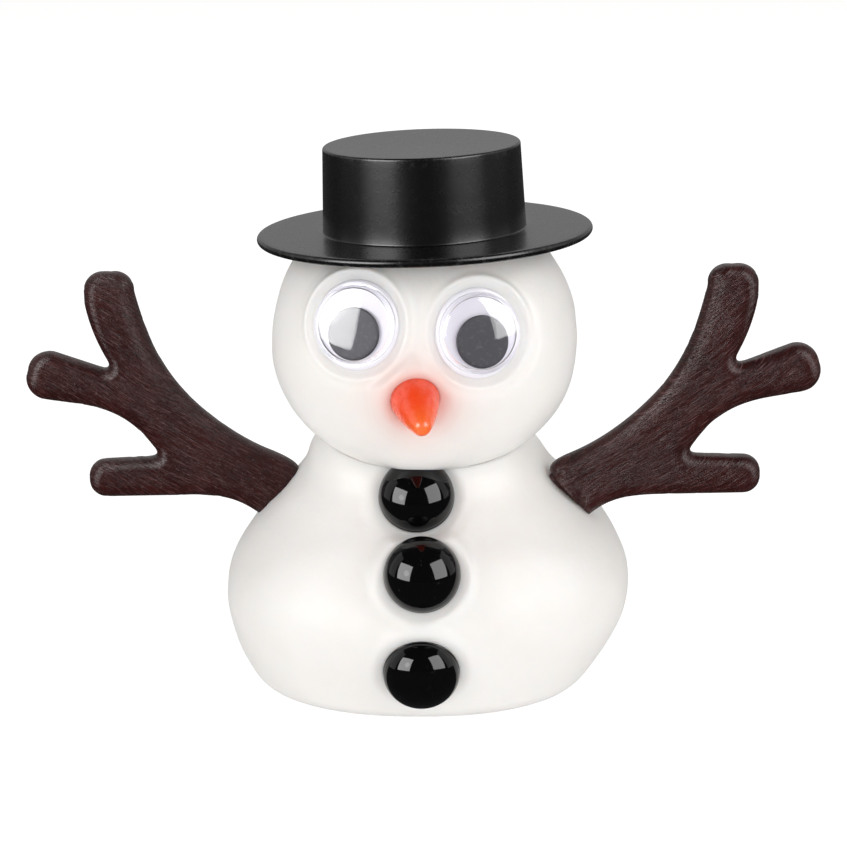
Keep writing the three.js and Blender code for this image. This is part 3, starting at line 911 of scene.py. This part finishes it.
# ---------------------------------------------------------------- arms
def prong_tip(name):
    """A blunt tip: two round corners either side of the prong's axis."""
    prong = PRONGS[name]
    axis = (prong["start"] + prong["end"]) / 2
    inset = prong["radius"] - prong["corner"]
    points = []
    for side, start, end in ((-90, prong["start"], axis), (90, axis, prong["end"])):
        ahead, aside = math.radians(axis), math.radians(axis + side)
        x = prong["place"][0] + inset * (math.cos(ahead) + math.cos(aside))
        z = prong["place"][1] + inset * (math.sin(ahead) + math.sin(aside))
        points += [np.array(p) for p in arc(x, z, prong["corner"], start, end, 14)]
    return points


def arm_axes():
    """The directions along the arm's root and across it, in X and Z."""
    climb = math.radians(ARM["root_angle"])
    along = np.array([math.cos(climb), math.sin(climb)])
    return along, np.array([along[1], -along[0]])


def arm_outline(shoulder):
    """The twig's outline in X and Z, from the middle of the end that meets the body. The shoulder is how far
    out the wide part starts, in front of the peg."""
    along, across = arm_axes()

    def at(distance, share):
        return along * distance + across * share * ARM["root_half_width"]

    peg, root = ARM["peg"], -ARM["peg_length"]
    points = [at(root, peg), at(shoulder, peg), at(shoulder, 1)]
    points += bezier([points[-1], (6.4, -1.2), (8.6, -0.5), (13.5, -0.3)], 18)
    points += prong_tip("low")
    points += [np.array((19.6, 5.8))]
    points += bezier([points[-1], (17.8, 5.9), (19, 7.4)], 8)
    points += bezier([points[-1], (21.6, 11.3), (24.6, 13.4), (30, 14.35)], 18)
    points += prong_tip("middle")
    points += [np.array((26.2, 19.7))]
    points += bezier([points[-1], (24.6, 19.2), (25, 20.6)], 8)
    points += bezier([points[-1], (27.3, 25), (27.9, 29.4)], 14)
    points += prong_tip("high")
    points += bezier([points[-1], (19.3, 25), (17.3, 18.9), (12.7, 14.2)], 22)
    points += bezier([points[-1], (9.3, 10.6), (5.2, 7.6), (1.2, 5.9)], 14)
    points += bezier([points[-1], at(shoulder, -1), at(shoulder, -peg)], 10)
    points += [at(root, -peg)]
    return np.array(points)


def rounded_slab(outline, thickness, rounding, voxel):
    """An evenly meshed slab of an outline in X and Z with rounded edges: its points, normals and faces."""
    curve = bpy.data.curves.new("outline", "CURVE")
    curve.dimensions = "2D"
    curve.fill_mode = "BOTH"
    line = curve.splines.new("POLY")
    line.points.add(len(outline) - 1)
    for point, (x, z) in zip(line.points, outline):
        point.co = (x, z, 0, 1)
    line.use_cyclic_u = True
    curve.extrude = thickness / 2 - rounding
    curve.bevel_depth = rounding
    curve.bevel_resolution = 6
    curve.offset = -rounding
    slab = bpy.data.objects.new("outline", curve)
    bpy.context.scene.collection.objects.link(slab)
    remesh = slab.modifiers.new("even", "REMESH")
    remesh.mode = "VOXEL"
    remesh.voxel_size = voxel
    relax = slab.modifiers.new("relax", "SMOOTH")
    relax.factor = 0.5
    relax.iterations = 4
    mesh = bpy.data.meshes.new_from_object(slab.evaluated_get(bpy.context.evaluated_depsgraph_get()))
    points = np.zeros(len(mesh.vertices) * 3)
    mesh.vertices.foreach_get("co", points)
    normals = np.zeros(len(mesh.vertices) * 3)
    mesh.vertices.foreach_get("normal", normals)
    faces = [tuple(p.vertices) for p in mesh.polygons]
    bpy.data.objects.remove(slab)
    bpy.data.curves.remove(curve)
    bpy.data.meshes.remove(mesh)
    return points.reshape(-1, 3), normals.reshape(-1, 3), faces


def grain_places(x, z, seed):
    """Places along and across the wood grain, which climbs the twig in slightly wavy lines."""
    u, v = x / GRAIN["bend_length"], z / GRAIN["bend_length"]
    bend_x = x + GRAIN["bend"] * lattice_noise(u + 3, v, 31 + seed)
    bend_z = z + GRAIN["bend"] * lattice_noise(u, v + 7, 32 + seed)
    turn = math.radians(GRAIN["climb"])
    along = bend_x * math.cos(turn) + bend_z * math.sin(turn)
    across = -bend_x * math.sin(turn) + bend_z * math.cos(turn)
    return along, across


def arm_piece(side, material):
    arm = ARMS[side]
    voxel = ARM["voxel"]
    outline = arm_outline(arm["shoulder"])
    points, normals, faces = rounded_slab(outline, ARM["thickness"], ARM["edge_round"], voxel)
    along_root = points[:, :2] @ arm_axes()[0]
    peg = smoothstep(arm["shoulder"] + 0.15, arm["shoulder"] - 0.15, along_root)
    points[:, 2] *= 1 + (ARM["peg_thinner"] - 1) * peg
    seed = 5 if arm["mirrored"] else 0
    along, across = grain_places(points[:, 0], points[:, 1] + GRAIN["lean"] * points[:, 2], seed)
    coarse = lattice_noise(along / GROOVES["length"], across / GROOVES["width"], GROOVES["seed"] + seed)
    points = points - normals * (GROOVES["depth"] * smoothstep(0.1, 0.75, coarse))[:, None]
    upright = np.stack([points[:, 0], -points[:, 2], points[:, 1]], 1)
    if arm["mirrored"]:
        upright = upright @ rotation("z", 180).T
    placed = upright @ rotation("y", arm["roll"]).T + np.array(arm["place"])
    piece = mesh_object(f"arm_{side}_twig", placed, faces, material)
    point_value(piece, "along", along)
    point_value(piece, "across", across)
    return stands_for(piece, f"arm_{side}")


# ---------------------------------------------------------------- studio
def floor_piece(material):
    size, height = FLOOR_HALF_SIZE, cad_bounds[0][2] / MM
    corners = [(x, y, height) for x, y in ((-size, -size), (size, -size), (size, size), (-size, size))]
    floor = mesh_object("studio_floor", corners, [(0, 1, 2, 3)], material)


def area_light(name, aim, azimuth, elevation, size, radiance, seen_by, shape="RECTANGLE"):
    """A softbox seen from the aim point at an azimuth to the right of the front and at an elevation, in
    degrees. seen_by says whether it lights matt surfaces, is mirrored in shiny ones, or both. A matt one
    stands further back, because lights that coincide hide one another."""
    data = bpy.data.lights.new(name, "AREA")
    data.shape = shape
    data.size, data.size_y = size
    data.energy = radiance * math.pi * data.size * data.size_y
    a, e = math.radians(azimuth), math.radians(elevation)
    way = Vector((math.sin(a) * math.cos(e), -math.cos(a) * math.cos(e), math.sin(e)))
    light = bpy.data.objects.new(name, data)
    light.location = aim + way * (LIGHT_DISTANCE + (MATT_SETBACK if seen_by == "matt" else 0))
    light.rotation_euler = way.to_track_quat("Z", "Y").to_euler()
    light.visible_diffuse = seen_by != "shiny"
    light.visible_glossy = seen_by != "matt"
    bpy.context.scene.collection.objects.link(light)


def lit_from(add, link, heading, limits, smooth):
    """A strength that changes from the front of the room to its back."""
    change = add("ShaderNodeMapRange")
    change.interpolation_type = "SMOOTHSTEP" if smooth else "LINEAR"
    for key, number in zip(("From Min", "From Max", "To Min", "To Max"), limits):
        change.inputs[key].default_value = number
    link(heading, change.inputs["Value"])
    return change.outputs["Result"]


def studio_world():
    """Even light on the putty, a white backdrop for the eye, and in reflections a dark room, pale at the
    back."""
    world = bpy.data.worlds.new("studio")
    bpy.context.scene.world = world
    world.use_nodes = True
    tree = world.node_tree
    tree.nodes.clear()
    add, link = tree.nodes.new, tree.links.new
    path = add("ShaderNodeLightPath")
    way = add("ShaderNodeSeparateXYZ")
    link(add("ShaderNodeTexCoord").outputs["Generated"], way.inputs[0])
    heading = way.outputs["Y"]
    strengths = {
        "fill": lit_from(add, link, heading, (-1.0, 1.0, 0.6, 0.36), False),
        "mirrored": lit_from(add, link, heading, (0.0, 0.8, 0.03, 0.5), True),
    }
    colours = {"fill": rgb(1.0, 0.985, 0.97), "mirrored": rgb(1, 1, 1), "seen": rgb(1, 1, 1)}
    shades = {}
    for name, colour in colours.items():
        shades[name] = add("ShaderNodeBackground")
        shades[name].inputs["Color"].default_value = colour
    for name, strength in strengths.items():
        link(strength, shades[name].inputs["Strength"])
    before = shades["fill"].outputs[0]
    for ray, name in (("Is Glossy Ray", "mirrored"), ("Is Camera Ray", "seen")):
        mix = add("ShaderNodeMixShader")
        link(path.outputs[ray], mix.inputs[0])
        link(before, mix.inputs[1])
        link(shades[name].outputs[0], mix.inputs[2])
        before = mix.outputs[0]
    link(before, add("ShaderNodeOutputWorld").inputs["Surface"])


def studio_lights(aim):
    for name, settings in LIGHTS.items():
        area_light(name, aim, **settings)


def studio_camera(aim):
    data = bpy.data.cameras.new("camera")
    data.sensor_width = CAMERA["sensor"]
    data.lens = CAMERA["lens"]
    data.clip_end = CAMERA["clip_end"]
    elevation = math.radians(CAMERA["elevation"])
    camera = bpy.data.objects.new("camera", data)
    camera.location = aim + Vector((0, -math.cos(elevation), math.sin(elevation))) * CAMERA["distance"]
    camera.rotation_euler = (math.pi / 2 - elevation, 0, 0)
    bpy.context.scene.collection.objects.link(camera)
    bpy.context.scene.camera = camera


# ---------------------------------------------------------------- the scene
def build_object():
    putty = putty_material()
    body_piece(putty)
    head_piece(putty)
    hat_piece(hat_material())
    nose_piece(nose_material())
    button = button_material()
    for row in BUTTONS:
        button_piece(row, button)
    arm = arm_material()
    for side in ARMS:
        arm_piece(side, arm)
    white, black, clear = eye_white_material(), pupil_material(), eye_clear_material()
    for side in EYES:
        eye_backing_piece(side, white)
        pupil_piece(side, black)
        eye_dome_piece(side, clear)


def build_studio():
    low, high = cad_bounds
    middle = (Vector(low) + Vector(high)) / 2
    aim = Vector((AIM["x"], 0, middle.z - AIM["below_middle"]))
    floor_piece(floor_material())
    studio_world()
    studio_lights(aim)
    studio_camera(aim)
    bpy.context.scene.view_settings.view_transform = "Standard"


build_object()
build_studio()
